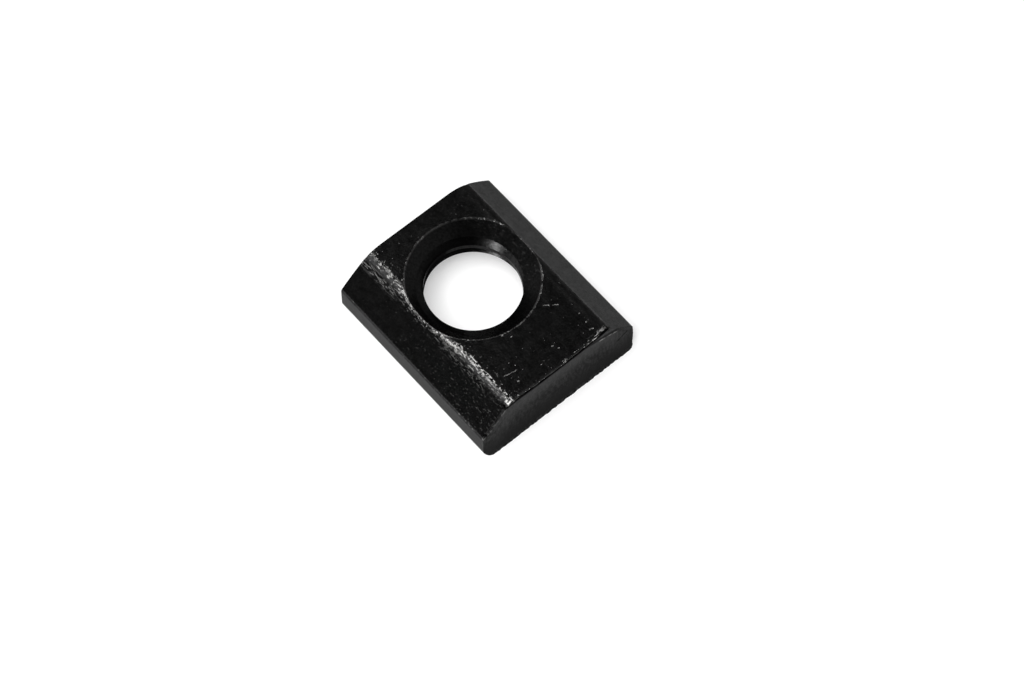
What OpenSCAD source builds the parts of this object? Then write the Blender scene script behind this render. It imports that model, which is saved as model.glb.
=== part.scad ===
// Slide-in T-slot nut: a short length of drawn steel bar, cropped at both ends,
// drilled, countersunk on both faces and tapped off centre.
// Origin at the middle of the flat underside. +X runs along the slot towards the
// front end, which is the one further from the hole. +Z points out of the slot.

/* [Block] */
// Overall length along the slot, over the cropped ends at the underside
block_length = 15.5; // [14:0.1:24]
// Width across the two upright side walls
block_width = 13.3; // [11:0.1:16]
// Height from the underside to the flat top
block_height = 4.4; // [4:0.1:7]
// Width of the flat top, to where the flanks would meet it with no rounding
top_width = 8.8; // [7.4:0.1:10]
// Height of the side walls, to where the flanks would meet them with no rounding
wall_height = 2.1; // [1.6:0.1:3]

/* [Section rounding] */
// Radius along each ridge, between the flat top and a flank
ridge_radius = 0.8; // [0.3:0.1:1.2]
// Radius along the lower edge of each flank, above the side wall
flank_radius = 0.4; // [0.2:0.1:1]
// Radius along the bottom edge of each side wall
foot_radius = 0.3; // [0.1:0.05:0.6]

/* [Tapped hole] */
// Diameter at the thread's crests, to which the hole is drilled before tapping
thread_bore = 6.8; // [5:0.1:7.4]
// Distance of the thread's axis from the middle of the length
thread_setback = 1.65; // [0:0.05:2]
// Diameter of the countersink at the flat top, wide enough to cut both ridges
top_sink = 9.4; // [8:0.1:10]
// Depth of the countersink at the flat top
top_sink_depth = 1.1; // [0.6:0.1:1.5]
// Diameter of the countersink at the underside
base_sink = 9; // [8:0.1:10]
// Depth of the countersink at the underside
base_sink_depth = 1.9; // [0.6:0.1:2.2]

/* [Front end, cropped] */
// How far the cropped face leans outwards on its way down to the flared foot
face_lean = 0.05; // [0:0.05:0.2]
// How far the foot flares out past the cropped face, where the steel tore last
flare_reach = 0.45; // [0.1:0.05:0.6]
// Height over which the foot flares out
flare_height = 1.6; // [1:0.1:2]
// Length of the rolled edge that the cropping blade leaves round the top and sides
roll_reach = 0.3; // [0.1:0.05:0.6]
// Depth of the rolled edge where it is deepest, at one ridge and its flank
roll_drop = 0.85; // [0.4:0.05:1.2]
// Sideways shift of the rolled edge, which makes it deeper along one flank
roll_lean = 0.25; // [0:0.05:0.4]
// Radius of the shallow arch along the top of the front end
arch_radius = 14.5; // [10:0.5:30]
// Depth of the rolled edge at the middle of the flat top
arch_drop = 0.2; // [0.1:0.05:0.35]

/* [Back end, cropped] */
// Radius along the underside of the back end, rolled by the crop before
heel_radius = 0.4; // [0.1:0.05:0.8]

/* [Hidden] */
$fn = 96;

// Overshoot of a cutting solid past the face that it cuts
over = 1;
// How far round its ellipse the rolled edge goes before it ends crisply at the face
roll_end_angle = 65;

half_length = block_length / 2;
half_width = block_width / 2;
ridge_y = top_width / 2;
thread_x = -thread_setback;
foot_x = half_length - flare_reach;
front_top_x = foot_x - face_lean;

// The circle through a ridge and the top of its side wall, seen from the front
shoulder_z = (pow(ridge_y, 2) + pow(block_height, 2) - pow(half_width, 2) - pow(wall_height, 2))
    / (2 * (block_height - wall_height));
shoulder_radius = norm([ridge_y, block_height - shoulder_z]);

// Unit vector from point a to point b
function heading(a, b) = (b - a) / norm(b - a);

// What a round of radius r takes off the corner p of an outline, between its
// neighbours a and b
module corner_waste(p, a, b, r) {
    to_a = heading(p, a);
    to_b = heading(p, b);
    inward = heading([0, 0], to_a + to_b);
    half_angle = acos(to_a * to_b) / 2;
    reach = r / tan(half_angle);
    centre = p + inward * r / sin(half_angle);
    difference() {
        polygon([p - inward * over, p + to_a * reach, centre, p + to_b * reach]);
        translate(centre)
            circle(r);
    }
}

// A closed outline with a round of its own radius at each point
module rounded_outline(points, radii) {
    count = len(points);
    difference() {
        polygon(points);
        for (i = [0 : count - 1])
            corner_waste(points[i], points[(i + count - 1) % count], points[(i + 1) % count], radii[i]);
    }
}

// The bar's drawn section, with Y across and Z up
module section() {
    half = [[half_width, 0], [half_width, wall_height], [ridge_y, block_height]];
    radii = [foot_radius, flank_radius, ridge_radius];
    last = len(half) - 1;
    other_half = [for (i = [last : -1 : 0]) [-half[i][0], half[i][1]]];
    other_radii = [for (i = [last : -1 : 0]) radii[i]];
    rounded_outline(concat(half, other_half), concat(radii, other_radii));
}

// The bar's side view, with X along and Z up: the back end is upright over a rolled
// heel, and the front end leans out to its foot, which flares in one arc
module side_outline() {
    flare_radius = (pow(flare_reach, 2) + pow(flare_height, 2)) / (2 * flare_reach);
    heel = [-half_length, 0];
    toe = [half_length, 0];
    back_top = [-half_length, block_height];
    difference() {
        polygon([
            heel, toe, [half_length, flare_height], [foot_x, flare_height],
            [front_top_x, block_height], back_top
        ]);
        translate([foot_x + flare_radius, flare_height])
            circle(flare_radius);
        corner_waste(heel, back_top, toe, heel_radius);
    }
}

// The drawn bar, cropped to length
module blank() {
    intersection() {
        translate([-half_length, 0, 0])
            rotate([90, 0, 90])
                linear_extrude(block_length)
                    section();
        translate([0, half_width + over, 0])
            rotate([90, 0, 0])
                linear_extrude(block_width + 2 * over)
                    side_outline();
    }
}

// Metal lost round the front end: all that lies outside a drum along X, whose
// centre is at [y, z]. The drum starts to roll over at roll_start and shrinks by
// drop, along part of an ellipse that leaves its side with no corner
module rolled_waste(y, z, radius, drop) {
    outside = radius + block_width;
    roll_start = front_top_x - roll_reach;
    across = drop / (1 - cos(roll_end_angle));
    along = roll_reach / sin(roll_end_angle);
    translate([0, y, z])
        rotate([0, 90, 0])
            rotate_extrude()
                difference() {
                    translate([radius - drop, roll_start])
                        square([outside - radius + drop, half_length + over - roll_start]);
                    translate([radius - across, roll_start])
                        scale([across, along])
                            circle(1);
                }
}

// The rolled edge of the front end: deep along one flank, shallow along the top
module front_roll() {
    rolled_waste(roll_lean, shoulder_z, shoulder_radius + roll_lean, roll_drop);
    rolled_waste(0, block_height - arch_drop - arch_radius, arch_radius + roll_drop, roll_drop);
}

// A countersink of the given diameter and depth in the face at height face_z,
// carried on past that face at the same slope; side is 1 upwards and -1 downwards
module sink(diameter, depth, face_z, side) {
    slope = (diameter - thread_bore) / 2 / depth;
    translate([0, 0, face_z - side * depth])
        rotate([side > 0 ? 0 : 180, 0, 0])
            cylinder(h = depth + over, d1 = thread_bore, d2 = diameter + 2 * slope * over);
}

// The drilled hole with a countersink at each face
module tapped_hole() {
    translate([thread_x, 0, 0]) {
        translate([0, 0, -over])
            cylinder(h = block_height + 2 * over, d = thread_bore);
        sink(top_sink, top_sink_depth, block_height, 1);
        sink(base_sink, base_sink_depth, 0, -1);
    }
}

module nut_body() {
    color("#1c1c1e")
        difference() {
            blank();
            front_roll();
            tapped_hole();
        }
}

nut_body();
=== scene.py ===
"""Looks of a slide-in tee nut: drawn steel bar, cropped, countersunk, tapped and blackened.

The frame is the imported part's own: X along the slot, Y across it, Z out of its mouth.
Shapes are worked out in millimetres and brought to metres once they are finished.
"""

import logging
import math
from dataclasses import dataclass

import bmesh
import bpy
from mathutils import Matrix, Vector, noise

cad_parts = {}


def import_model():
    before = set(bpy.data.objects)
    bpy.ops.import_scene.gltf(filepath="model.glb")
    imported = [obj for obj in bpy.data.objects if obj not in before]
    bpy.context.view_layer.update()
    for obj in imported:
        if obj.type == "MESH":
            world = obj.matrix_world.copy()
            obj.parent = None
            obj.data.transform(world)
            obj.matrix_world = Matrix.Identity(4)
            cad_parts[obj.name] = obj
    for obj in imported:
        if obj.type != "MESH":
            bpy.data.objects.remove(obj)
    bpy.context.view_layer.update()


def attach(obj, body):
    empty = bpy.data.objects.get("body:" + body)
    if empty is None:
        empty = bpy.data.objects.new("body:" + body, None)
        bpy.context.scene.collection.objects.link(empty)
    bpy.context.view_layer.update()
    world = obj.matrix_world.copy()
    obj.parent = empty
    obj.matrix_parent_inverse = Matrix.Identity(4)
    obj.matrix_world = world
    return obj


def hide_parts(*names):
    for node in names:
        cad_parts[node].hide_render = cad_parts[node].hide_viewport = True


logging.basicConfig(level=logging.INFO, format="%(message)s")
log = logging.getLogger("tee nut")

MM = 0.001
SEED = 24.17
# Points closer than this are one, in mm: in a fresh shape, and in the nut once it is cut
SHAPE_MERGE = 1e-5
CUT_MERGE = 1e-4


# ------------------------------------------------------------------ sizes, in mm


@dataclass(frozen=True)
class BlockSizes:
    """The cropped bar: its section across the slot and its length along it."""

    length: float = 15.5
    width: float = 13.3
    height: float = 4.4
    top_width: float = 8.8
    wall_height: float = 2.1
    ridge_radius: float = 0.8
    flank_radius: float = 0.4
    foot_radius: float = 0.3

    @property
    def half_length(self) -> float:
        """Half the overall length."""
        return self.length / 2


@dataclass(frozen=True)
class HoleSizes:
    """The tapped hole and its two countersinks."""

    setback: float = 1.65
    crest_radius: float = 3.4
    root_radius: float = 4.0
    pitch: float = 1.25
    crest_flat: float = 0.4
    root_flat: float = 0.156
    top_sink_radius: float = 4.7
    top_sink_depth: float = 1.1
    base_sink_radius: float = 4.5
    base_sink_depth: float = 1.9
    # Where the groove's middle lies at angle zero round the hole, above the underside
    groove_height: float = 2.806


@dataclass(frozen=True)
class CropSizes:
    """Both cropped ends: the lean, the flared foot, the rolled edge and the heel."""

    face_lean: float = 0.05
    flare_reach: float = 0.45
    flare_height: float = 1.6
    roll_reach: float = 0.3
    roll_drop: float = 0.85
    roll_lean: float = 0.25
    arch_radius: float = 14.5
    arch_drop: float = 0.2
    roll_end_angle: float = math.radians(65)
    # How much later the rolled edge starts along the left flank than along the right. From this
    # share of the way to the ridge it follows a sine, which is at this angle at the side wall
    left_delay: float = 0.3
    delay_from: float = 0.7
    delay_turn: float = math.radians(140)
    heel_radius: float = 0.4
    # Plan radius of the foot's corners, and how deep its torn scallops are
    toe_radius: float = 0.65
    scallop_depth: float = 0.1
    scallops_per_mm: float = 4.3
    # The fold torn under the top edge: how deep, how wide, and how ragged the edge over it
    fold_depth: float = 0.12
    fold_width: float = 0.17
    ragged: float = 0.035
    ragged_per_mm: float = 4.0
    # How much of its depth the fold keeps, what it gains from left to right, its waves, and how
    # far past each ridge it goes
    fold_share: float = 0.45
    fold_gain: float = 0.2
    fold_waves_per_mm: float = 1.3
    fold_past_ridge: float = 1.0
    # How far the back end is knocked in at the right ridge and at the left
    back_rolls: tuple[float, float] = (0.22, 0.12)
    back_roll_width: float = 1.5


# ------------------------------------------------------------------ shapes


def clamped(value: float, high: float = 1.0) -> float:
    """A number kept between zero and its upper limit."""
    return min(max(value, 0.0), high)


class DrawnSection:
    """The bar's outline across the slot, as a ring of points with Y across and Z up."""

    # How finely a corner is rounded, in segments for each mm of its radius
    SEGMENTS_PER_MM = 12
    FEWEST_SEGMENTS = 6

    def __init__(self, sizes: BlockSizes, spacing: float) -> None:
        """Works out the outline.

        Args:
            sizes: the block's sizes.
            spacing: the greatest distance between points along the straight sides.
        """
        self.sizes = sizes
        self.spacing = spacing
        self.points = self._trace()

    def _trace(self) -> list[Vector]:
        """Rounds the six corners of the section and divides its straight sides.

        Returns:
            The points of the outline in order, each as (y, z).
        """
        s = self.sizes
        half = [(s.width / 2, 0.0, s.foot_radius), (s.width / 2, s.wall_height, s.flank_radius),
                (s.top_width / 2, s.height, s.ridge_radius)]
        corners = half + [(-y, z, r) for y, z, r in reversed(half)]
        bm = bmesh.new()
        bm.faces.new([bm.verts.new((0, y, z)) for y, z, _ in corners])
        for y, z, radius in corners:
            corner = min(bm.verts, key=lambda v: (v.co - Vector((0, y, z))).length)
            sides = [(e.other_vert(corner).co - corner.co).normalized() for e in corner.link_edges]
            setback = radius / math.tan(sides[0].angle(sides[1]) / 2)
            segments = max(self.FEWEST_SEGMENTS, round(radius * self.SEGMENTS_PER_MM))
            bmesh.ops.bevel(bm, geom=[corner], offset=setback, offset_type="OFFSET", segments=segments,
                            profile=0.5, affect="VERTICES", material=-1, clamp_overlap=False)
        for edge in [e for e in bm.edges if e.calc_length() > 2 * self.spacing]:
            cuts = math.ceil(edge.calc_length() / self.spacing) - 1
            bmesh.ops.subdivide_edges(bm, edges=[edge], cuts=cuts)
        bm.faces.ensure_lookup_table()
        points = [Vector((loop.vert.co.y, loop.vert.co.z)) for loop in bm.faces[0].loops]
        bm.free()
        return points


class CroppedEnds:
    """Where the bar stops along X at each end, as heights over the section."""

    # The row of the noise that the foot's scallops are read from
    SCALLOP_ROW = 0.3

    def __init__(self, block: BlockSizes, crop: CropSizes) -> None:
        """Works out the drums and the leaning face of the front end.

        Args:
            block: the block's sizes.
            crop: the sizes of the cropped ends.
        """
        self.block, self.crop = block, crop
        ridge_y, half_width = block.top_width / 2, block.width / 2
        self.foot_x = block.half_length - crop.flare_reach
        self.top_x = self.foot_x - crop.face_lean
        self.roll_start = self.top_x - crop.roll_reach
        shoulder_z = (ridge_y**2 + block.height**2 - half_width**2 - block.wall_height**2) / (
            2 * (block.height - block.wall_height))
        shoulder_radius = math.hypot(ridge_y, block.height - shoulder_z)
        crown_z = block.height - crop.arch_drop - crop.arch_radius
        # Each drum is its centre across and up, and its full radius before the roll
        self.drums = [(crop.roll_lean, shoulder_z, shoulder_radius + crop.roll_lean),
                      (0.0, crown_z, crop.arch_radius + crop.roll_drop)]

    def face_x(self, y: float, z: float) -> float:
        """X of the cropped front face, leaning out to its flared foot.

        Args:
            y: the place across the section.
            z: the place up it.

        Returns:
            X in mm.
        """
        c = self.crop
        if z >= c.flare_height:
            rise = (z - c.flare_height) / (self.block.height - c.flare_height)
            return self.foot_x - c.face_lean * rise
        radius = (c.flare_reach**2 + c.flare_height**2) / (2 * c.flare_reach)
        flare = radius - math.sqrt(radius**2 - (c.flare_height - z) ** 2)
        return self.foot_x + flare * self.foot_share(y)

    def foot_share(self, y: float) -> float:
        """How much of its flare the foot keeps, between its scallops and at its corners.

        Args:
            y: the place across the section.

        Returns:
            The share, from 0 to 1.
        """
        c = self.crop
        past = clamped(abs(y) - (self.block.width / 2 - c.toe_radius), c.toe_radius)
        rounded = c.toe_radius - math.sqrt(c.toe_radius**2 - past**2)
        wave = noise.noise(Vector((y * c.scallops_per_mm, self.SCALLOP_ROW, SEED)))
        scallop = c.scallop_depth * (0.5 + 0.5 * wave)
        return max(1 - (rounded + scallop) / c.flare_reach, 0.0)

    def fold(self, y: float, z: float) -> float:
        """How deep the torn fold under the front's top edge is.

        Args:
            y: the place across the section.
            z: the place up it.

        Returns:
            The depth in mm, zero outside the fold.
        """
        c = self.crop
        width = c.fold_width * (1 + max(y, 0.0) / self.block.top_width)
        drop = (self.block.height - z) / width
        if not 0 < drop < 1 or abs(y) > self.block.top_width / 2 + c.fold_past_ridge:
            return 0.0
        wave = noise.noise(Vector((y * c.fold_waves_per_mm, 0, SEED)))
        uneven = clamped(c.fold_share + c.fold_gain * y / self.block.top_width + wave)
        return c.fold_depth * uneven * math.sin(math.pi * drop) ** 2

    def heel_x(self, y: float, z: float) -> float:
        """X of the back end, upright over its rolled heel and knocked in at both ridges.

        Args:
            y: the place across the section.
            z: the place up it.

        Returns:
            X in mm.
        """
        b, c = self.block, self.crop
        reach = c.back_rolls[0] if y > 0 else c.back_rolls[1]
        past = abs(y) - b.top_width / 2
        if past > 0:
            near = 1 - past / (b.width / 2 - b.top_width / 2)
        else:
            near = max(1 + past / c.back_roll_width, 0.0) ** 2
        up = clamped((z - b.wall_height) / (b.height - b.wall_height))
        back = -b.half_length + reach * near * up
        r = c.heel_radius
        return back if z >= r else back + r - math.sqrt(max(r**2 - (r - z) ** 2, 0.0))

    def roll_x(self, y: float, z: float) -> float | None:
        """X of the rolled front edge.

        Args:
            y: the place across the section.
            z: the place up it.

        Returns:
            X in mm, or None where the place is inside the face.
        """
        c = self.crop
        across = c.roll_drop / (1 - math.cos(c.roll_end_angle))
        from_y = c.delay_from * self.block.top_width / 2
        share = clamped((-y - from_y) / (self.block.width / 2 - from_y))
        start = self.roll_start + c.left_delay * math.sin(share * c.delay_turn)
        along = (self.face_x(y, z) - start) / math.sin(c.roll_end_angle)
        lowest = None
        for centre_y, centre_z, radius in self.drums:
            out = math.hypot(y - centre_y, z - centre_z)
            if out <= radius - c.roll_drop:
                continue
            part = min((out - (radius - across)) / across, 1.0)
            x = start + along * math.sqrt(1 - part**2)
            lowest = x if lowest is None else min(lowest, x)
        return lowest


@dataclass(frozen=True)
class RingPlan:
    """How finely the block's skin is divided, in mm along X or in counts of rings."""

    section_spacing: float = 0.1
    body_spacing: float = 0.3
    roll_rings: int = 26
    face_rings: int = 18
    heel_rings: int = 8


class BlockSkin:
    """The cropped bar's outside, grown ring by ring from the back end to the front."""

    # The small ring that closes each end: its share of the width and of the height, and the
    # height of its middle
    INNER_SHARE = 0.8
    MIDDLE_HEIGHT = 2.4
    HEIGHT_SHARE = 0.3
    # How often the search for the crease halves its step, and the steps of the way there
    HALVINGS = 30
    TRACK_STEPS = 40

    def __init__(self, block: BlockSizes, crop: CropSizes, plan: RingPlan) -> None:
        """Sets up the section and the ends.

        Args:
            block: the block's sizes.
            crop: the sizes of the cropped ends.
            plan: how finely the skin is divided.
        """
        self.block, self.crop, self.plan = block, crop, plan
        self.section = DrawnSection(block, plan.section_spacing)
        self.ends = CroppedEnds(block, crop)

    def inward(self, point: Vector, share: float) -> Vector:
        """A point of the outline moved inwards by a share of the way to the middle."""
        inner = Vector((point.x * self.INNER_SHARE,
                        self.MIDDLE_HEIGHT + (point.y - self.MIDDLE_HEIGHT) * self.HEIGHT_SHARE))
        return point.lerp(inner, share)

    def _crease_share(self, point: Vector) -> float:
        """Finds how far inwards the rolled edge reaches, by halving.

        Args:
            point: a point of the outline.

        Returns:
            The share of the way to the middle.
        """
        if self.ends.roll_x(*point) is None:
            return 0.0
        low, high = 0.0, 1.0
        for _ in range(self.HALVINGS):
            middle = (low + high) / 2
            if self.ends.roll_x(*self.inward(point, middle)) is None:
                high = middle
            else:
                low = middle
        return high

    def _front_track(self, point: Vector) -> tuple[list[Vector], float]:
        """The way from the side of the bar over its rolled edge to the crease.

        Args:
            point: the outline point that the way starts from.

        Returns:
            Evenly spaced points (x, y, z), one for each roll ring, and the share of the
            way inwards at which the crease lies.
        """
        ends = self.ends
        crease = self._crease_share(point)
        track = [Vector((ends.roll_start, *point))]
        first, front = ends.roll_x(*point), ends.face_x(*point)
        if first is not None:
            wave = noise.noise(Vector((point.x * self.crop.ragged_per_mm, point.y, SEED)))
            front = min(first, front) - self.crop.ragged * wave
        track.append(Vector((front, *point)))
        if crease > 0:
            for step in range(1, self.TRACK_STEPS):
                place = self.inward(point, crease * step / self.TRACK_STEPS)
                rolled = ends.roll_x(*place)
                reach = ends.top_x if rolled is None else rolled
                track.append(Vector((reach - ends.fold(*place), *place)))
            place = self.inward(point, crease)
            track.append(Vector((ends.top_x, *place)))
            track.append(Vector((ends.face_x(*place), *place)))
        return even_points(track, self.plan.roll_rings), crease

    def rings(self) -> list[list[Vector]]:
        """Works out every ring of the skin.

        Returns:
            The rings, from inside the back end to inside the front end.
        """
        outline, plan, ends = self.section.points, self.plan, self.ends
        rings = []
        for k in range(plan.heel_rings, 0, -1):
            places = [self.inward(p, (k / plan.heel_rings) ** 2) for p in outline]
            rings.append([Vector((ends.heel_x(*p), *p)) for p in places])
        start = -self.block.half_length + self.crop.heel_radius
        back = [ends.heel_x(*p) for p in outline]
        for k in range(plan.heel_rings):
            share = (k / plan.heel_rings) ** 2
            rings.append([Vector((x + (start - x) * share, *p)) for x, p in zip(back, outline)])
        count = round((ends.roll_start - start) / plan.body_spacing)
        for k in range(count):
            rings.append([Vector((start + (ends.roll_start - start) * k / count, *p)) for p in outline])
        tracks = [self._front_track(p) for p in outline]
        for k in range(plan.roll_rings):
            rings.append([track[k] for track, _ in tracks])
        for k in range(1, plan.face_rings + 1):
            share = (k / plan.face_rings) ** 2
            ring = []
            for point, (_, crease) in zip(outline, tracks):
                place = self.inward(point, crease + (1 - crease) * share)
                ring.append(Vector((ends.face_x(*place), *place)))
            rings.append(ring)
        return rings

    def build(self) -> bmesh.types.BMesh:
        """Extrudes the section from ring to ring.

        Returns:
            The closed skin in mm.
        """
        rings = self.rings()
        bm = bmesh.new()
        place = bm.verts.layers.int.new("outline_place")
        corners = [bm.verts.new(co) for co in rings[0]]
        for number, vert in enumerate(corners):
            vert[place] = number
        bm.faces.new(corners)
        edge_loop = bm.edges[:]
        for ring in rings[1:]:
            grown = bmesh.ops.extrude_edge_only(bm, edges=edge_loop)["geom"]
            edge_loop = [part for part in grown if isinstance(part, bmesh.types.BMEdge)]
            for vert in {end for edge in edge_loop for end in edge.verts}:
                vert.co = ring[vert[place]]
        bmesh.ops.contextual_create(bm, geom=edge_loop)
        bmesh.ops.remove_doubles(bm, verts=bm.verts, dist=SHAPE_MERGE)
        bmesh.ops.recalc_face_normals(bm, faces=bm.faces)
        log.info("block skin: %d faces", len(bm.faces))
        return bm


class TappedHole:
    """The two tools that cut the hole: a turned one, and a helical one for the thread."""

    TURN_STEPS = 192
    THREAD_STEPS = 96
    THREAD_TURNS = 6
    # In mm: how far the turned tool goes past both faces, and the helical one into the open bore
    REACH = 1.0
    OVERLAP = 0.15

    def __init__(self, hole: HoleSizes, block: BlockSizes) -> None:
        """Keeps the sizes.

        Args:
            hole: the hole's sizes.
            block: the block's sizes.
        """
        self.hole, self.block = hole, block

    def turned_tool(self) -> bmesh.types.BMesh:
        """Turns the drilled bore and both countersinks about the hole's axis.

        Returns:
            The closed tool, in mm.
        """
        h, top = self.hole, self.block.height
        top_slope = (h.top_sink_radius - h.crest_radius) / h.top_sink_depth
        base_slope = (h.base_sink_radius - h.crest_radius) / h.base_sink_depth
        profile = [(0, -self.REACH), (h.base_sink_radius + base_slope * self.REACH, -self.REACH),
                   (h.crest_radius, h.base_sink_depth), (h.crest_radius, top - h.top_sink_depth),
                   (h.top_sink_radius + top_slope * self.REACH, top + self.REACH), (0, top + self.REACH)]
        bm = bmesh.new()
        corners = [bm.verts.new((r, 0, z)) for r, z in profile]
        for a, b in zip(corners, corners[1:]):
            bm.edges.new((a, b))
        bmesh.ops.spin(bm, geom=bm.verts[:] + bm.edges[:], cent=(0, 0, 0), axis=(0, 0, 1), angle=2 * math.pi,
                       steps=self.TURN_STEPS, use_merge=True)
        return self._closed(bm)

    def thread_tool(self) -> bmesh.types.BMesh:
        """Spins the groove of the right-hand thread upwards through the whole bore.

        Returns:
            The closed tool, in mm.
        """
        h = self.hole
        inner = h.crest_radius - self.OVERLAP
        slope = (h.pitch - h.crest_flat - h.root_flat) / 2 / (h.root_radius - h.crest_radius)
        open_half = h.root_flat / 2 + slope * (h.root_radius - inner)
        low = h.groove_height - self.THREAD_TURNS / 2 * h.pitch
        groove = ((inner, -open_half), (h.root_radius, -h.root_flat / 2),
                  (h.root_radius, h.root_flat / 2), (inner, open_half))
        bm = bmesh.new()
        bm.faces.new([bm.verts.new((r, 0, low + z)) for r, z in groove])
        bmesh.ops.spin(bm, geom=bm.verts[:] + bm.edges[:] + bm.faces[:], cent=(0, 0, 0), axis=(0, 0, 1),
                       dvec=(0, 0, h.pitch / self.THREAD_STEPS), angle=2 * math.pi * self.THREAD_TURNS,
                       steps=self.THREAD_TURNS * self.THREAD_STEPS)
        return self._closed(bm)

    def _closed(self, bm: bmesh.types.BMesh) -> bmesh.types.BMesh:
        """Merges a spun tool's seam, turns its faces outwards and sets it over the hole."""
        bmesh.ops.remove_doubles(bm, verts=bm.verts, dist=SHAPE_MERGE)
        bmesh.ops.recalc_face_normals(bm, faces=bm.faces)
        bmesh.ops.translate(bm, vec=(-self.hole.setback, 0, 0), verts=bm.verts)
        return bm


def even_points(track: list[Vector], count: int) -> list[Vector]:
    """Points spread evenly along a track of straight steps.

    Args:
        track: the points of the track, in order.
        count: how many points to give after the first one.

    Returns:
        The points, the last being the end of the track.
    """
    lengths = [0.0]
    for a, b in zip(track, track[1:]):
        lengths.append(lengths[-1] + (b - a).length)
    points, step = [], 0
    for k in range(1, count + 1):
        wanted = lengths[-1] * k / count
        while step < len(lengths) - 2 and lengths[step + 1] < wanted:
            step += 1
        span = lengths[step + 1] - lengths[step]
        share = (wanted - lengths[step]) / span if span > 0 else 1.0
        points.append(track[step].lerp(track[step + 1], clamped(share)))
    return points


def mesh_object(name: str, bm: bmesh.types.BMesh, scale: float = 1.0) -> bpy.types.Object:
    """Puts a finished bmesh in the scene.

    Args:
        name: the object's name.
        bm: the shape, freed here.
        scale: what its coordinates are multiplied by.

    Returns:
        The new object, at the origin.
    """
    bmesh.ops.scale(bm, vec=(scale, scale, scale), verts=bm.verts)
    mesh = bpy.data.meshes.new(name)
    bm.to_mesh(mesh)
    bm.free()
    made = bpy.data.objects.new(name, mesh)
    bpy.context.scene.collection.objects.link(made)
    return made


class NutBody:
    """The whole nut: the cropped block with the hole cut out of it."""

    NAME = "cropped_nut"
    # Edges that turn by more than this stay sharp
    CREASE = math.radians(18)

    def __init__(self, block: BlockSizes, hole: HoleSizes, crop: CropSizes) -> None:
        """Builds the block and its cutting tools.

        Args:
            block: the block's sizes.
            hole: the hole's sizes.
            crop: the sizes of the cropped ends.
        """
        self.skin = BlockSkin(block, crop, RingPlan())
        self.hole = TappedHole(hole, block)

    def build(self) -> bpy.types.Object:
        """Cuts the hole and shades the finished nut.

        Returns:
            The nut in metres, at the origin.
        """
        block = mesh_object("block_skin", self.skin.build())
        tools = [mesh_object("turned_tool", self.hole.turned_tool()),
                 mesh_object("thread_tool", self.hole.thread_tool())]
        for tool in tools:
            cut = block.modifiers.new(tool.name, "BOOLEAN")
            cut.operation, cut.solver, cut.object = "DIFFERENCE", "EXACT", tool
        bpy.context.view_layer.update()
        cut_mesh = block.evaluated_get(bpy.context.evaluated_depsgraph_get()).to_mesh()
        bm = bmesh.new()
        bm.from_mesh(cut_mesh)
        for used in [block] + tools:
            bpy.data.meshes.remove(used.data)
        bmesh.ops.remove_doubles(bm, verts=bm.verts, dist=CUT_MERGE)
        bmesh.ops.recalc_face_normals(bm, faces=bm.faces)
        for face in bm.faces:
            face.smooth = True
        nut = mesh_object(self.NAME, bm, MM)
        nut.data.set_sharp_from_angle(angle=self.CREASE)
        log.info("nut: %d faces", len(nut.data.polygons))
        return nut


# ------------------------------------------------------------------ finishes


def srgb(code: str) -> tuple[float, float, float, float]:
    """The linear colour of an sRGB hex code."""
    parts = [int(code[k:k + 2], 16) / 255 for k in (1, 3, 5)]
    return (*(p / 12.92 if p <= 0.04045 else ((p + 0.055) / 1.055) ** 2.4 for p in parts), 1.0)


class Value:
    """What a node gives, ready to be used in sums."""

    def __init__(self, socket: bpy.types.NodeSocket) -> None:
        """Keeps the socket and the node tree that it is in."""
        self.socket, self.tree = socket, socket.id_data

    def __add__(self, other: "Value | float") -> "Value":
        """This and the other together."""
        return joined("ADD", self, other)

    def __sub__(self, other: "Value | float") -> "Value":
        """This less the other."""
        return joined("SUBTRACT", self, other)

    def __rsub__(self, other: float) -> "Value":
        """A number less this."""
        return joined("SUBTRACT", other, self)

    def __mul__(self, other: "Value | float") -> "Value":
        """This times the other."""
        return joined("MULTIPLY", self, other)

    def __abs__(self) -> "Value":
        """This without its sign."""
        return add(self.tree, "Math", {"operation": "ABSOLUTE"}, {0: self})


def add(tree: bpy.types.NodeTree, kind: str, settings: dict | None = None, inputs: dict | None = None,
        output: int | str = 0) -> Value:
    """Adds a node with its settings and links.

    Args:
        tree: the node tree.
        kind: the node's kind, without its ShaderNode prefix.
        settings: the node's own properties.
        inputs: a number, colour or Value for each input, by name or number.
        output: which output is wanted.

    Returns:
        The wanted output.
    """
    made = tree.nodes.new("ShaderNode" + kind)
    for name, value in (settings or {}).items():
        setattr(made, name, value)
    for key, value in (inputs or {}).items():
        if isinstance(value, Value):
            tree.links.new(value.socket, made.inputs[key])
        else:
            made.inputs[key].default_value = value
    return Value(made.outputs[output])


def joined(operation: str, *values: Value | float) -> Value:
    """Two or more values run together by one kind of sum.

    Args:
        operation: the sum, such as MULTIPLY, ADD or MAXIMUM.
        values: what is run together, at least one of them a Value.

    Returns:
        The result.
    """
    tree = next(value.tree for value in values if isinstance(value, Value))
    result = values[0]
    for value in values[1:]:
        result = add(tree, "Math", {"operation": operation}, {0: result, 1: value})
    return result


def fade(value: Value, start: float, end: float) -> Value:
    """Zero up to start, one from end on, and smooth between; start may be the greater."""
    return add(value.tree, "MapRange", {"interpolation_type": "SMOOTHSTEP"},
               {"Value": value, "From Min": start, "From Max": end})


@dataclass(frozen=True)
class Scratch:
    """A short straight mark in the finish, in mm."""

    start: tuple[float, float, float]
    end: tuple[float, float, float]
    width: float


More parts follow.
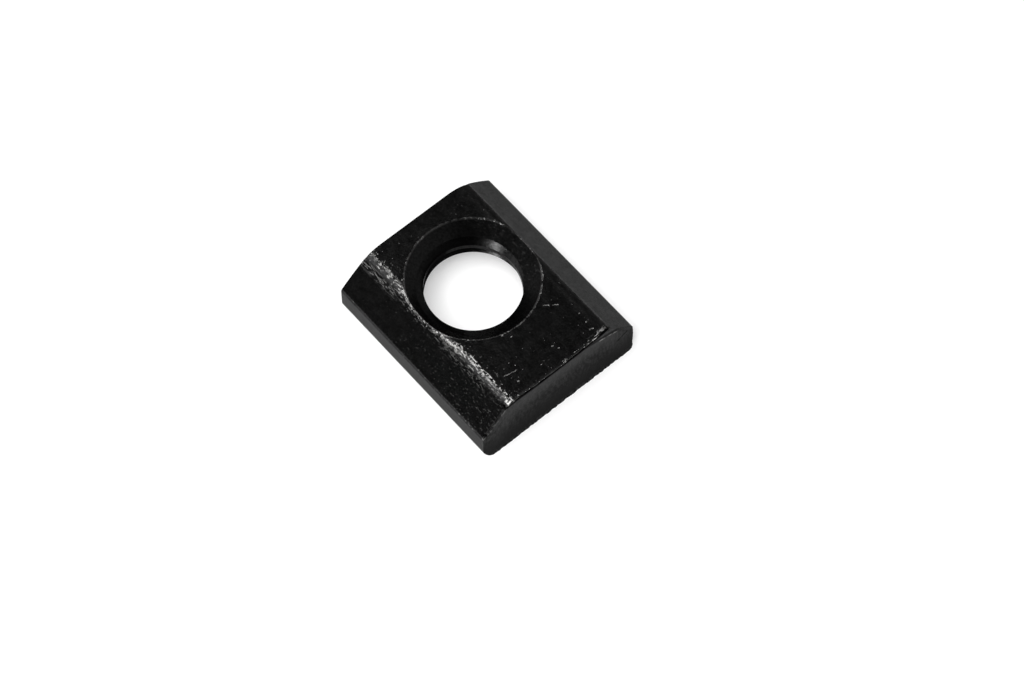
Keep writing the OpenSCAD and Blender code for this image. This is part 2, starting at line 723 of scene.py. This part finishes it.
class SteelPattern:
    """Where the nut's finish changes and where shade and highlights are painted on it, from the place on the
    nut in mm.
    """

    # Half the turn from the flat top down to the flank
    RIDGE_TURN = math.radians(22.8)
    # How far the front's top edge bows back, in mm for each mm across, squared
    EDGE_BOW = 0.0121
    # How far the ragged outlines of single marks stray from side to side, in mm
    STRAY = 0.16
    # Along X: where the drawn skin ends, and where the cropped face, the painted shade of the torn fold and
    # the painted highlight along the crease start
    SKIN_END = (7.22, 7.12)
    FACE_START = (7.16, 7.24)
    FOLD_START = (6.85, 6.95)
    CREASE_START = (7.0, 7.1)
    # Up Z: where the edge's burrs start, and the specks on the flat top
    BURR_START = (4.3, 4.36)
    SPECK_START = (4.2, 4.35)
    # From the back end (0) to the front (1): how far towards the flat top the worn band runs,
    # 0.5 being along the ridge itself, and how high the noise must rise to show it
    BAND_PATH = ((0.0, 0.75), (0.2, 0.71), (0.3, 0.47), (0.46, 0.43), (0.54, 0.53), (0.61, 0.635),
                 (1.0, 0.62))
    BAND_NEED = ((0.0, 0.43), (0.2, 0.41), (0.28, 0.35), (0.47, 0.33), (0.53, 0.46), (0.62, 0.4),
                 (0.75, 0.43), (1.0, 0.55))
    # From the left ridge (0) to the right one (1): how high the noise must rise to leave a burr
    BURR_NEED = ((0.0, 0.4), (0.05, 0.54), (0.2, 0.64), (0.52, 0.68), (0.57, 0.48), (0.61, 0.68),
                 (0.78, 0.6), (0.86, 0.52), (1.0, 0.43))
    # Each mark's start and end on the flat top, as x and y, and its width
    TOP_MARKS = tuple(
        Scratch((x, y, BlockSizes.height), (to_x, to_y, BlockSizes.height), width)
        for x, y, to_x, to_y, width in (
            (3.0, 2.2, 3.25, 2.55, 0.06), (3.4, 2.75, 3.6, 3.05, 0.06), (5.37, -3.24, 5.55, -2.32, 0.045),
            (5.2, -2.15, 5.24, -2.1, 0.07), (6.25, -2.8, 6.3, -2.7, 0.08), (5.7, 0.65, 5.76, 0.78, 0.06),
            (6.1, 0.85, 6.12, 1.0, 0.04), (6.3, -0.8, 6.35, -0.7, 0.05), (5.04, 3.65, 5.08, 3.75, 0.07),
            (5.8, 3.6, 5.85, 3.7, 0.05), (6.4, 3.4, 6.5, 3.7, 0.06), (2.9, -1.4, 2.98, -1.28, 0.09),
            (3.38, -1.0, 3.44, -0.9, 0.06)))
    # The crack and the nick are painted shade: dark lines on the front face with no recess cut for them
    CRACK = Scratch((7.25, 6.1, 2.2), (7.25, 5.2, 1.75), 0.13)
    NICK = Scratch((7.06, -6.58, 2.17), (7.24, -6.3, 2.4), 0.2)

    def __init__(self, tree: bpy.types.NodeTree, block: BlockSizes, hole: HoleSizes,
                 ends: CroppedEnds) -> None:
        """Works out the coordinates that every mask shares.

        Args:
            tree: the material's node tree.
            block: the block's sizes.
            hole: the hole's sizes.
            ends: the cropped ends.
        """
        self.tree, self.block, self.hole, self.ends = tree, block, hole, ends
        metres = add(tree, "TexCoord", output="Object")
        self.place = add(tree, "VectorMath", {"operation": "SCALE"}, {"Vector": metres, "Scale": 1 / MM})
        split = add(tree, "SeparateXYZ", inputs={0: self.place}).socket.node
        self.x, self.y, self.z = (Value(part) for part in split.outputs)
        self.cone_foot = block.height - hole.top_sink_depth
        self.across_ridge = self._from_ridge(self.y + block.top_width / 2)
        shaken = add(tree, "VectorMath", {"operation": "SUBTRACT"},
                     {0: self.grain((6.0, 6.0, 6.0), 2.0, 1), 1: (0.5, 0.5, 0.5)})
        shift = add(tree, "VectorMath", {"operation": "SCALE"}, {"Vector": shaken, "Scale": self.STRAY})
        self.ragged_place = add(tree, "VectorMath", {"operation": "ADD"}, {0: self.place, 1: shift})

    def _from_ridge(self, inwards: Value) -> Value:
        """Distance from a ridge: positive on the flat top, and negative down over the flank."""
        rise = (self.z - self.block.height) * math.sin(self.RIDGE_TURN)
        return inwards * math.cos(self.RIDGE_TURN) + rise

    def grain(self, scale: tuple[float, float, float], detail: float = 3.0, output: int = 0) -> Value:
        """Noise with its own number of grains to the millimetre along each axis."""
        fitted = add(self.tree, "VectorMath", {"operation": "MULTIPLY"}, {0: self.place, 1: scale})
        return add(self.tree, "TexNoise", inputs={"Vector": fitted, "Scale": 1.0, "Detail": detail},
                   output=output)

    def flecks(self, along: float, across: float, level: Value | float) -> Value:
        """Scattered irregular spots.

        Args:
            along: grains of the noise to the millimetre along the bar.
            across: the same across the bar.
            level: how high the noise must rise to make a spot; above 0.7 leaves few.

        Returns:
            One inside a spot and zero outside.
        """
        return fade(self.grain((along, across, across), 2.0) - level, 0.0, 0.06)

    def ramp(self, place: Value, reach: float, levels: tuple[tuple[float, float], ...]) -> Value:
        """A level that changes along or across the nut.

        Args:
            place: the distance along or across.
            reach: how far the ramp goes to each side of zero.
            levels: places from one end (0) to the other (1), each with its level from 0 to 1.

        Returns:
            The level at the point being shaded.
        """
        spread = add(self.tree, "MapRange", inputs={"Value": place, "From Min": -reach, "From Max": reach})
        ramp = add(self.tree, "ValToRGB", inputs={0: spread}).socket.node
        stops = ramp.color_ramp.elements
        for number, (where, level) in enumerate(levels):
            stop = stops[number] if number < 2 else stops.new(where)
            stop.position, stop.color = where, (level, level, level, 1)
        return Value(ramp.outputs[0])

    def marked(self, mark: Scratch) -> Value:
        """A short straight mark with a ragged outline.

        Args:
            mark: where it runs, and its width.

        Returns:
            One along the mark, thinning out at its ends, and zero elsewhere.
        """
        tree = self.tree
        start, way = Vector(mark.start), Vector(mark.end) - Vector(mark.start)
        from_start = add(tree, "VectorMath", {"operation": "SUBTRACT"}, {0: self.ragged_place, 1: start})
        along = add(tree, "VectorMath", {"operation": "DOT_PRODUCT"},
                    {0: from_start, 1: way / way.length_squared}, "Value")
        aside = add(tree, "VectorMath", {"operation": "CROSS_PRODUCT"}, {0: from_start, 1: way / way.length})
        off = add(tree, "VectorMath", {"operation": "LENGTH"}, {0: aside}, "Value")
        return fade(off, mark.width, mark.width * 0.4) * fade(abs(along - 0.5), 0.6, 0.4)

    def past_crease(self) -> Value:
        """How far a place is past the crease of the rolled front edge.

        Returns:
            The distance in mm, negative on the front face.
        """
        flat = add(self.tree, "VectorMath", {"operation": "MULTIPLY"}, {0: self.place, 1: (0, 1, 1)})
        past = []
        for across, up, radius in self.ends.drums:
            out = add(self.tree, "VectorMath", {"operation": "DISTANCE"}, {0: flat, 1: (0, across, up)},
                      "Value")
            past.append(out - (radius - self.ends.crop.roll_drop))
        return joined("MAXIMUM", *past)

    def depth(self) -> Value:
        """How far a place is below the top or inside a flank.

        Returns:
            The lesser of the two distances in mm.
        """
        b = self.block
        run, fall = (b.width - b.top_width) / 2, b.height - b.wall_height
        length = math.hypot(run, fall)
        reach = abs(self.y) * (fall / length) + self.z * (run / length)
        corner = (b.top_width / 2 * fall + b.height * run) / length
        return joined("MINIMUM", b.height - self.z, corner - reach)

    def out(self) -> Value:
        """Distance out from the hole's axis."""
        flat = add(self.tree, "CombineXYZ", inputs={0: self.x + self.hole.setback, 1: self.y})
        return add(self.tree, "VectorMath", {"operation": "LENGTH"}, {0: flat}, "Value")

    def skin(self) -> Value:
        """One on the drawn faces of the bar, zero inside the hole and over the front face."""
        return fade(self.depth(), 0.12, 0.05) * fade(self.x, *self.SKIN_END)

    def bare(self) -> Value:
        """Everywhere that the finish is thinned or rubbed through, and the painted highlight along the
        front's crease, from 0 to 1.
        """
        return joined("MAXIMUM", self.rubbed_ridge(), self.scuffed_flank(), self.rim(), self.burred_edge(),
                      self.top_marks(), self.crease_highlight(), self.chatter(), self.specks())

    def rubbed_ridge(self) -> Value:
        """The bright band worn along the left ridge, broken into flecks.

        Returns:
            How bare the steel is, from 0 to 1.
        """
        # The core runs on the top's side, and drops under the rim beside the hole
        half_length = self.block.half_length
        middle = (self.ramp(self.x, half_length, self.BAND_PATH) - 0.5) * 2.0
        wander = (self.grain((0.9, 1.0, 1.0), 2.0) - 0.5) * 0.2
        aside = self.across_ridge - middle + wander
        past_hole = fade(self.x, 0.9, 1.8)
        # Past the hole it stops sharply on the top's side
        need = (abs(aside) * 1.45 + aside * 0.4 + self.ramp(self.x, half_length, self.BAND_NEED)
                + past_hole * fade(aside, 0.12, 0.22) * 0.3)
        core = fade(self.grain((4.5, 8.0, 8.0), 2.0) - need, 0.0, 0.05)
        shine = add(self.tree, "MapRange", inputs={"Value": self.grain((6.5, 7.5, 7.5), 1.0),
                                                   "From Min": 0.4, "From Max": 0.6, "To Min": 0.16})
        pits = fade(self.grain((5.5, 6.5, 6.5), 0.0), 0.47, 0.52)
        # There its limit is a thin clean line
        limit = (fade(abs(aside - 0.1), 0.1, 0.05) * past_hole
                 * fade(self.grain((4.5, 5.0, 5.0), 1.0), 0.49, 0.54))
        # Its shoulder thins out down the flank and towards the front end
        below = self.grain((3.0, 8.0, 8.0), 2.0) - (0.44 - aside * 0.28)
        shoulder = (fade(below, 0.0, 0.1) * fade(aside, 0.1, -0.05) * fade(aside, -0.95, -0.3)
                    * (0.34 - fade(self.x, 3.0, 6.5) * 0.22))
        return joined("MAXIMUM", core * shine * pits, limit, shoulder) * self.skin()

    def scuffed_flank(self) -> Value:
        """Grey scratches and fine flecks on both sides of the left ridge, and the dulled right one.

        Returns:
            How thin the finish is, from 0 to 1.
        """
        off, x = self.across_ridge, self.x
        half_length = self.block.half_length
        behind = (fade(off, -0.9, -0.45) * fade(off, -0.1, -0.3) * fade(x, -3.6, -4.8)
                  * fade(self.grain((2.0, 9.0, 9.0), 4.0), 0.45, 0.6))
        ahead = add(self.tree, "MapRange", inputs={"Value": x, "From Min": -half_length,
                                                   "From Max": half_length, "To Min": 0.72, "To Max": 0.58})
        fine = self.flecks(5.0, 8.0, ahead) * fade(off, 0.1, -0.3)
        near = (self.flecks(4.0, 8.0, 0.56) * fade(off, -1.0, -0.4) * fade(off, 0.0, -0.2)
                * fade(x, -1.0, 0.5) * fade(x, 6.5, 4.0))
        top = self.flecks(5.0, 5.0, 0.62) * fade(off, 1.2, 0.5) * fade(off, 0.2, 0.4)
        scuffs = joined("MAXIMUM", behind * 0.5, fine * 0.18, near * 0.3, top * 0.5, self.dulled_ridge())
        return scuffs * self.skin()

    def dulled_ridge(self) -> Value:
        """The right ridge, where the finish is thinned but not worn through.

        Returns:
            The faint greyness, from 0 to 0.08.
        """
        off = self._from_ridge(self.block.top_width / 2 - self.y)
        uneven = add(self.tree, "MapRange", inputs={"Value": self.grain((2.0, 4.0, 4.0), 4.0),
                                                    "From Min": 0.35, "From Max": 0.7,
                                                    "To Min": 0.02, "To Max": 0.08})
        return fade(off, 0.9, 0.0) * fade(off, -0.4, -0.15) * uneven

    def rim(self) -> Value:
        """The thin bright line round the countersink's rim.

        Returns:
            How bare the steel is, from 0 to 1.
        """
        h = self.hole
        slope = (h.top_sink_radius - h.crest_radius) / h.top_sink_depth
        off_cone = abs(self.out() - (self.z - self.cone_foot) * slope - h.crest_radius)
        width = (self.grain((3.4, 3.4, 3.4), 4.0) - 0.32) * 0.24
        line = fade(off_cone - width, 0.01, -0.03) * fade(self.depth(), 0.1, 0.03)
        uneven = fade(self.grain((4.0, 4.0, 4.0), 2.0), 0.5, 0.75) * 0.6 + 0.22
        # It is worn least on the side towards the back end
        return line * uneven * (self.x * 0.06 + 0.92)

    def burred_edge(self) -> Value:
        """Bright short burrs along the front end's top edge, thickest at both ridges.

        Returns:
            How bare the steel is, from 0 to 1.
        """
        level = self.ramp(self.y, self.block.top_width / 2, self.BURR_NEED)
        # The edge bows back from its middle towards both ridges
        short = (self.ends.top_x - 0.03) - self.y * self.y * self.EDGE_BOW - self.x
        edge = fade(short, 0.32, 0.1) * fade(self.z, *self.BURR_START)
        burrs = fade(self.grain((8.0, 3.6, 8.0), 2.0) - level, 0.0, 0.08) * 0.85
        lip = fade(short, 0.16, 0.04) * self.grain((1.0, 2.5, 1.0), 2.0) * 0.11
        return edge * joined("MAXIMUM", burrs, lip)

    def fold_shade(self) -> Value:
        """Painted shade in the fold under the front's top edge, over the rolled edge on its right, and in the
        crack on its right and the nick on its left.

        Returns:
            How dark the place is, from 0 to 1.
        """
        drop, past = self.block.height - self.z, self.past_crease()
        edge = fade(drop, 0.0, 0.04) * fade(drop, 0.34, 0.22)
        right = (fade(past, 0.04, 0.1) * fade(past, 0.34, 0.2) * fade(self.y, 1.5, 3.0)
                 * fade(self.y, 5.6, 5.0) * 0.7)
        fold = fade(self.x, *self.FOLD_START) * joined("MAXIMUM", edge, right)
        return joined("MAXIMUM", fold, self.marked(self.CRACK), self.marked(self.NICK))

    def crease_highlight(self) -> Value:
        """A painted highlight: the thin light line where the rolled edge creases into the front face, and a
        light border along the face's left edge.

        Returns:
            How bare the steel is, from 0 to 1.
        """
        right = fade(self.y, 3.2, 3.8) * fade(self.y, 5.3, 4.9)
        crease = fade(abs(self.past_crease()), 0.08, 0.02) * right * 0.3
        left = fade(self.depth(), 0.14, 0.04) * fade(self.y, -4.2, -4.6) * 0.12
        return (joined("MAXIMUM", crease, left) * fade(self.x, *self.CREASE_START)
                * fade(self.grain((3.0, 3.0, 3.0), 3.0), 0.4, 0.6))

    def top_marks(self) -> Value:
        """The larger scratches and bare spots on the flat top."""
        return joined("MAXIMUM", *(self.marked(mark) for mark in self.TOP_MARKS)) * 0.6

    def specks(self) -> Value:
        """A few bare specks scattered over the flat top."""
        return self.flecks(7.0, 7.0, 0.72) * fade(self.z, *self.SPECK_START) * 0.5

    def chatter(self) -> Value:
        """Small bright flecks left by the countersink on the right-hand side of its cone."""
        side = (fade(self.y, 2.2, 3.2) * fade(self.x, 2.2, 0.8) * fade(self.depth(), 0.04, 0.12)
                * fade(self.z, self.cone_foot, self.cone_foot + 0.3))
        return side * self.flecks(4.0, 6.0, 0.6) * 0.08

    def tapped(self) -> Value:
        """One on the thread's turns, fading out on the far right, where painted shade darkens them."""
        h = self.hole
        return (fade(self.out(), h.root_radius + 0.2, h.root_radius + 0.05) * fade(self.y, 3.0, 2.0)
                * fade(self.z, self.cone_foot, self.cone_foot - 0.1)
                * fade(self.z, h.base_sink_depth - 0.1, h.base_sink_depth))

    def shaded_crests(self) -> Value:
        """How much painted shade darkens the thread's crests in the hole's back half: much on its left,
        little on its right.
        """
        crest = self.hole.crest_radius
        return (fade(self.out(), crest + 0.16, crest + 0.06) * fade(self.x, -1.2, -2.6)
                * fade(self.z, self.cone_foot, self.cone_foot - 0.1) * (fade(self.y, 0.8, -0.8) * 0.55 + 0.1))

    def sheared_end(self) -> Value:
        """One over the cropped front face and zero elsewhere."""
        return fade(self.x, *self.FACE_START)

    def edge_highlight(self) -> Value:
        """A painted highlight: the paler band just inside the front face's outline, where its rounded edge
        catches the light.
        """
        return self.sheared_end() * fade(self.depth(), 2.4, 0.7) * fade(abs(self.y), 7.0, 3.5)

    def fracture_shade(self) -> Value:
        """The torn zone low on the front face, darker towards the foot: painted shade of the shadowed floor
        that the face reflects there.
        """
        uneven = self.z + self.grain((1.0, 2.2, 1.0), 4.0) * 0.8
        return self.sheared_end() * fade(uneven, 2.6, 0.7) * fade(self.z, 0.12, 0.3)


@dataclass(frozen=True)
class BlackOxideSteel:
    """Drawn steel under a black oxide finish, with bare metal where it is rubbed."""

    # The oxide is a thin layer grown on the steel itself, so the eye sees a near-black metal with
    # a satin sheen and faint lines along the bar. Where the steel was sheared it is matt and
    # rough, and where the layer is rubbed through it is bright
    name: str = "black_oxide_drawn_steel"
    oxide: str = "#272727"
    oxide_pale: str = "#404040"
    edge: str = "#bababa"
    # Bright bare steel where the layer is worn through; the same colour makes the painted highlight along the
    # front's crease
    bare: str = "#f8f7f5"
    # Painted shade over the torn zone, darker towards the front face's foot
    torn: str = "#2a2a2a"
    # Painted shade: the near-black laid in the torn fold, the crack and the nick, on the thread's back crests
    # and in their reflection's tint
    fold: str = "#0c0c0c"
    # Painted shade laid on the thread's turns
    thread: str = "#141414"
    # Painted highlight laid just inside the front face's outline
    highlight_grey: str = "#5c5c5c"
    # How much of the painted highlight inside the front face's outline and of the painted shade on the thread
    # shows
    highlight_share: float = 0.44
    thread_shade_share: float = 0.5
    metallic: float = 0.97
    roughness: tuple[float, float] = (0.17, 0.26)
    bare_roughness: float = 0.36
    sheared_roughness: float = 0.6
    bump_strength: float = 0.6
    bump_mm: float = 0.02

    def make(self, block: BlockSizes, hole: HoleSizes, ends: CroppedEnds) -> bpy.types.Material:
        """Builds the material.

        Args:
            block: the block's sizes, which the wear follows.
            hole: the hole's sizes, which the rim's line follows.
            ends: the cropped ends, which the burrs and the fold follow.

        Returns:
            The material.
        """
        material = bpy.data.materials.new(self.name)
        material.use_nodes = True
        tree = material.node_tree
        shader = tree.nodes["Principled BSDF"]
        pattern = SteelPattern(tree, block, hole, ends)
        mottle = pattern.grain((1.6, 1.6, 1.6), 6.0)
        # Drawing leaves lines along the bar. Real ones are finer, too fine to show here
        drawn = pattern.grain((0.6, 8.0, 8.0), 3.0)
        sheared = pattern.grain((2.0, 6.0, 2.2), 4.0)
        fine = pattern.grain((7.0, 7.0, 7.0), 2.0)
        end, crest_shade, bare = pattern.sheared_end(), pattern.shaded_crests(), pattern.bare()
        skin_pale = fade(mottle * 0.25 + drawn * 0.1 + fine * 0.65, 0.28, 0.72)
        end_pale = fade(sheared * 0.55 + fine * 0.45, 0.42, 0.6)
        pale = add(tree, "Mix", inputs={0: end, 2: skin_pale, 3: end_pale})
        # Each layer covers its share of those before it. Between the pale grain and the bare steel, every
        # layer is painted shade or painted highlight, and the bare steel also carries a painted highlight
        # along the front's crease
        color = srgb(self.oxide)
        for share, over in ((pale, self.oxide_pale), (pattern.fracture_shade(), self.torn),
                            (pattern.edge_highlight() * self.highlight_share, self.highlight_grey),
                            (pattern.tapped() * self.thread_shade_share, self.thread), (crest_shade, self.fold),
                            (pattern.fold_shade(), self.fold), (bare, self.bare)):
            color = add(tree, "Mix", {"data_type": "RGBA"}, {0: share, 6: color, 7: srgb(over)}, 2)
        # Painted shade also darkens the tint of the back crests' reflection
        tint = add(tree, "Mix", {"data_type": "RGBA"}, {0: crest_shade, 6: srgb(self.edge), 7: srgb(self.fold)}, 2)
        smooth, satin = self.roughness
        gloss = add(tree, "MapRange", inputs={"Value": mottle, "From Min": 0.3, "From Max": 0.7,
                                              "To Min": smooth, "To Max": satin})
        matt = add(tree, "Mix", inputs={0: end, 2: gloss, 3: self.sheared_roughness})
        rough = add(tree, "Mix", inputs={0: bare, 2: matt, 3: self.bare_roughness})
        height = end * sheared * 1.4 + drawn * 0.1 + mottle * 0.4 + fine * 0.5 + bare * -0.8
        bump = add(tree, "Bump", inputs={"Strength": self.bump_strength, "Distance": self.bump_mm * MM,
                                         "Height": height})
        shader.inputs["Metallic"].default_value = self.metallic
        for name, value in (("Base Color", color), ("Roughness", rough), ("Normal", bump),
                            ("Specular Tint", tint)):
            tree.links.new(value.socket, shader.inputs[name])
        return material


# ------------------------------------------------------------------ studio


@dataclass(frozen=True)
class Lamp:
    """One round soft lamp, aimed at the nut; distance and size in metres, power in watts."""

    name: str
    way: tuple[float, float, float]
    distance: float
    size: float
    power: float
    in_reflections: bool = True

    def place(self) -> None:
        """Hangs the lamp."""
        lamp = bpy.data.lights.new(self.name, "AREA")
        lamp.shape, lamp.size, lamp.energy = "DISK", self.size, self.power
        made = bpy.data.objects.new(self.name, lamp)
        bpy.context.scene.collection.objects.link(made)
        towards = Vector(self.way).normalized()
        turn = towards.to_track_quat("Z", "Y").to_matrix().to_4x4()
        made.matrix_world = Matrix.Translation(towards * self.distance) @ turn
        made.visible_glossy = self.in_reflections


class Studio:
    """A pale floor, soft light and the camera."""

    LAMPS = (Lamp("ridge_key", (-0.36, -0.17, 0.92), 0.4, 0.28, 0.34),
             Lamp("side_card", (-0.43, -0.57, 0.7), 0.4, 0.22, 0.07),
             Lamp("window", (0.12, -0.56, 0.82), 0.4, 0.07, 0.15),
             Lamp("ceiling_back", (-0.35, 0.42, 0.83), 0.4, 0.3, 0.006),
             Lamp("ceiling_fill", (0.05, -0.3, 0.95), 0.5, 0.4, 2.7, False))

    # In mm: how far the floor reaches, and how far under the nut it is, so that the two flats
    # aren't one surface. A ray shorter than this starts on the nut's underside
    FLOOR_REACH = 400
    FLOOR_GAP = 0.01
    NEAR_RAY = 6 * FLOOR_GAP
    FLOOR_GLOW = 0.44
    WHITE = "#ffffff"
    PAPER = "#c8c8c8"

    def build(self) -> None:
        """Sets up everything around the nut."""
        self._floor()
        self._world()
        for lamp in self.LAMPS:
            lamp.place()
        self._camera()

    def _floor(self) -> None:
        """A wide floor under the nut, which keeps its soft shadow and is clear from beneath."""
        bm = bmesh.new()
        bmesh.ops.create_grid(bm, x_segments=1, y_segments=1, size=self.FLOOR_REACH)
        bmesh.ops.translate(bm, verts=bm.verts, vec=(0, 0, -self.FLOOR_GAP))
        floor = mesh_object("studio_floor", bm, MM)
        # Uncoated white paper is wholly matt, so the eye sees no highlight on it
        material = bpy.data.materials.new("white_paper")
        material.use_nodes = True
        tree = material.node_tree
        shader = tree.nodes["Principled BSDF"]
        for name, value in (("Base Color", srgb(self.PAPER)), ("Roughness", 0.9), ("Specular IOR Level", 0.0),
                            ("Emission Color", srgb(self.WHITE))):
            shader.inputs[name].default_value = value
        # It glows only where the camera or a reflection sees it, so it lights nothing
        seen = ("Is Camera Ray", "Is Transmission Ray", "Is Glossy Ray")
        shown = joined("MAXIMUM", *(add(tree, "LightPath", output=ray) for ray in seen))
        tree.links.new((shown * self.FLOOR_GLOW).socket, shader.inputs["Emission Strength"])
        # Rays that start on the nut's underside pass through too, so that its flat is lit when it is seen
        near = joined("LESS_THAN", add(tree, "LightPath", output="Ray Length"), self.NEAR_RAY * MM)
        clear = joined("MAXIMUM", add(tree, "NewGeometry", output="Backfacing"), near)
        see_through = add(tree, "MixShader", inputs={0: clear, 1: Value(shader.outputs[0]),
                                                     2: add(tree, "BsdfTransparent")})
        tree.links.new(see_through.socket, tree.nodes["Material Output"].inputs["Surface"])
        floor.data.materials.append(material)

    def _world(self) -> None:
        """A dim surround, lighter near the horizon, on one side, behind and beneath; white to the camera."""
        world = bpy.data.worlds.new("studio")
        bpy.context.scene.world = world
        world.use_nodes = True
        tree = world.node_tree
        tree.nodes.clear()
        split = add(tree, "SeparateXYZ", inputs={0: add(tree, "TexCoord", output="Object")}).socket.node
        x, y, z = (Value(part) for part in split.outputs)
        glow = add(tree, "MapRange", {"interpolation_type": "SMOOTHSTEP"},
                   {"Value": z, "From Min": 0.25, "From Max": 0.7, "To Min": 0.125, "To Max": 0.035})
        screen = fade((x + y) * math.sqrt(0.5), 0.3, 0.7) * 0.09
        behind = fade(x, -0.55, -0.95) * 0.15
        beneath = fade(z, -0.05, -0.25) * 0.4
        dim, white = (add(tree, "Background", inputs={"Color": srgb(self.WHITE), "Strength": strength})
                      for strength in (glow + screen + behind + beneath, 1.0))
        seen = add(tree, "LightPath", output="Is Camera Ray")
        mixed = add(tree, "MixShader", inputs={0: seen, 1: dim, 2: white})
        tree.links.new(mixed.socket, tree.nodes.new("ShaderNodeOutputWorld").inputs["Surface"])

    def _camera(self) -> None:
        """The camera, turned and placed as measured."""
        view = CameraView()
        camera = bpy.data.cameras.new("camera")
        camera.sensor_width = view.sensor_width
        camera.lens = view.focal_px / view.image_width * view.sensor_width
        camera.clip_start = view.clip_start
        made = bpy.data.objects.new("camera", camera)
        bpy.context.scene.collection.objects.link(made)
        made.matrix_world = view.placement()
        bpy.context.scene.camera = made


@dataclass(frozen=True)
class CameraView:
    """Where the camera is, from where the hole's axis meets the flat top in the image."""

    azimuth: float = math.radians(-40.53)
    elevation: float = math.radians(62.615)
    # In mm, as is the sensor's width
    distance: float = 250.0
    sensor_width: float = 36.0
    # In metres, as Blender takes it
    clip_start: float = 0.01
    focal_px: float = 3700.665
    image_width: float = 1024.0
    image_height: float = 683.0
    hole_px: tuple[float, float] = (472.964, 278.316)
    hole_mm: tuple[float, float, float] = (-HoleSizes.setback, 0.0, BlockSizes.height)

    def placement(self) -> Matrix:
        """Works the camera's place and turn out from its angles and the hole's place.

        Returns:
            The camera's matrix, in metres.
        """
        back = Vector((math.cos(self.elevation) * math.cos(self.azimuth),
                       math.cos(self.elevation) * math.sin(self.azimuth), math.sin(self.elevation)))
        right = Vector((-math.sin(self.azimuth), math.cos(self.azimuth), 0))
        up = back.cross(right)
        across = (self.hole_px[0] - self.image_width / 2) / self.focal_px * self.distance
        above = -(self.hole_px[1] - self.image_height / 2) / self.focal_px * self.distance
        place = Vector(self.hole_mm) - right * across - up * above + back * self.distance
        turn = Matrix((right, up, back)).transposed().to_4x4()
        return Matrix.Translation(place * MM) @ turn


def main() -> None:
    """Builds the nut, its finish and the studio around it."""
    bpy.context.scene.view_settings.view_transform = "Standard"
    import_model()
    block, hole = BlockSizes(), HoleSizes()
    body = NutBody(block, hole, CropSizes())
    nut = body.build()
    nut.data.materials.append(BlackOxideSteel().make(block, hole, body.skin.ends))
    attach(nut, "root")
    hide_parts("nut_body")
    Studio().build()


if __name__ == "__main__":
    main()
